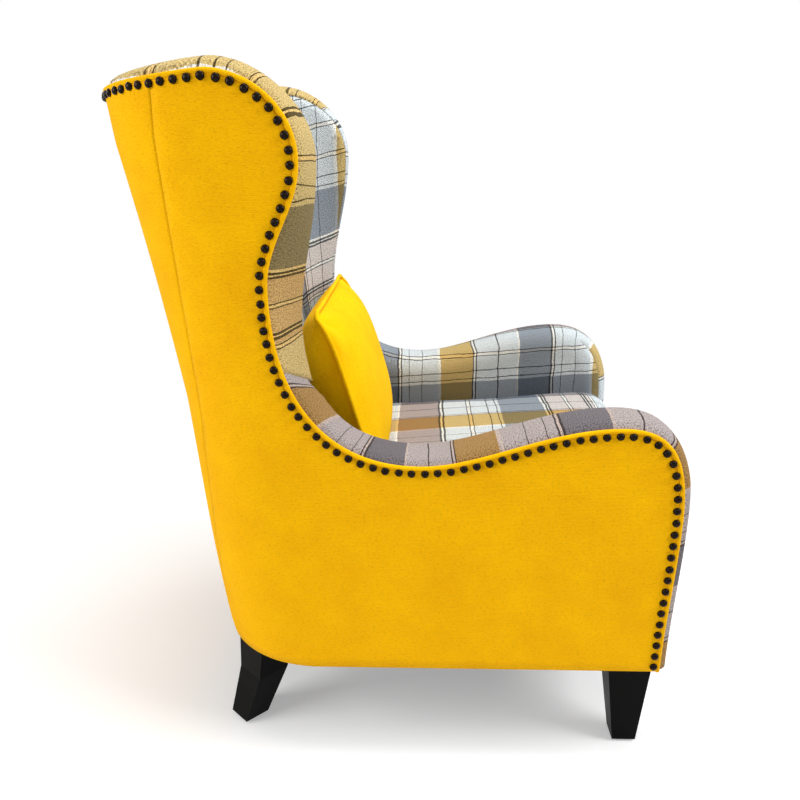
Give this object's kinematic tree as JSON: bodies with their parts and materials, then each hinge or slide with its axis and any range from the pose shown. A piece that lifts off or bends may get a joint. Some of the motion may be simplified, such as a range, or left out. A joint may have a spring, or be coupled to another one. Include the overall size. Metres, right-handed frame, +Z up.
{
  "type": "fireside chair",
  "caption": "High-backed wing armchair with a barrel back, scrolled padded arms, piped and nailed edge, tapered wooden legs, a loose seat cushion and a loose lumbar cushion.",
  "frame": {"origin": "on the floor, at the middle of the chair's overall length and width", "axes": "+X to the front of the chair, +Y to the sitter's left, +Z up"},
  "size_m": [0.8887, 0.7014, 1.067],
  "materials": {
    "frame_beech": "sawn, unfinished",
    "dark_wood": "near-black satin lacquer",
    "spring_steel": "oiled wire",
    "glide_steel": "zinc plated",
    "webbing": "woven jute strap",
    "lining_cloth": "plain black lining",
    "checked_wool": "brushed check in grey, slate, ochre and cream",
    "yellow_wool": "felted wool, plain weave",
    "bronze_nails": "dark bronze domed heads"
  },
  "bodies": {
    "chair": {"front_seat_rail": "frame_beech", "back_seat_rail": "frame_beech", "side_seat_rail_right": "frame_beech", "side_seat_rail_left": "frame_beech", "front_corner_block_right": "frame_beech", "front_corner_block_left": "frame_beech", "rear_corner_block_right": "frame_beech", "rear_corner_block_left": "frame_beech", "arm_post_right": "frame_beech", "arm_post_left": "frame_beech", "arm_rail_right": "frame_beech", "arm_rail_left": "frame_beech", "wing_board_right": "frame_beech", "wing_board_left": "frame_beech", "back_post_right": "frame_beech", "back_post_left": "frame_beech", "back_top_rail": "frame_beech", "back_lower_rail": "frame_beech", "seat_spring_1": "spring_steel", "seat_spring_2": "spring_steel", "seat_spring_3": "spring_steel", "seat_spring_4": "spring_steel", "seat_spring_5": "spring_steel", "back_webbing_1": "webbing", "back_webbing_2": "webbing", "back_webbing_3": "webbing", "seat_deck": "lining_cloth", "dust_cover": "lining_cloth", "arm_pad_right": "checked_wool", "arm_pad_left": "checked_wool", "wing_pad_right": "checked_wool", "wing_pad_left": "checked_wool", "back_pad": "checked_wool", "front_border": "checked_wool", "outside_panel_right": "yellow_wool", "outside_panel_left": "yellow_wool", "outside_back": "yellow_wool", "edge_piping": "yellow_wool", "nail_trim_right": "bronze_nails", "nail_trim_left": "bronze_nails", "nail_trim_back": "bronze_nails", "front_leg_right": "dark_wood", "front_leg_left": "dark_wood", "rear_leg_right": "dark_wood", "rear_leg_left": "dark_wood", "front_glide_right": "glide_steel", "front_glide_left": "glide_steel", "rear_glide_right": "glide_steel", "rear_glide_left": "glide_steel", "front_leg_bolt_right": "glide_steel", "front_leg_bolt_left": "glide_steel", "rear_leg_bolt_right": "glide_steel", "rear_leg_bolt_left": "glide_steel"},
    "seat_cushion": {"seat_cushion": "checked_wool"},
    "lumbar_cushion": {"lumbar_cushion": "yellow_wool"}
  },
  "joints": [
    {"name": "seat_cushion_lift", "type": "slide", "parent": "chair", "child": "seat_cushion", "axis": [0, 0, 1], "range_m": [0, 0.79]},
    {"name": "lumbar_cushion_lift", "type": "slide", "parent": "seat_cushion", "child": "lumbar_cushion", "axis": [0, 0, 1], "range_m": [0, 0.66]}
  ]
}
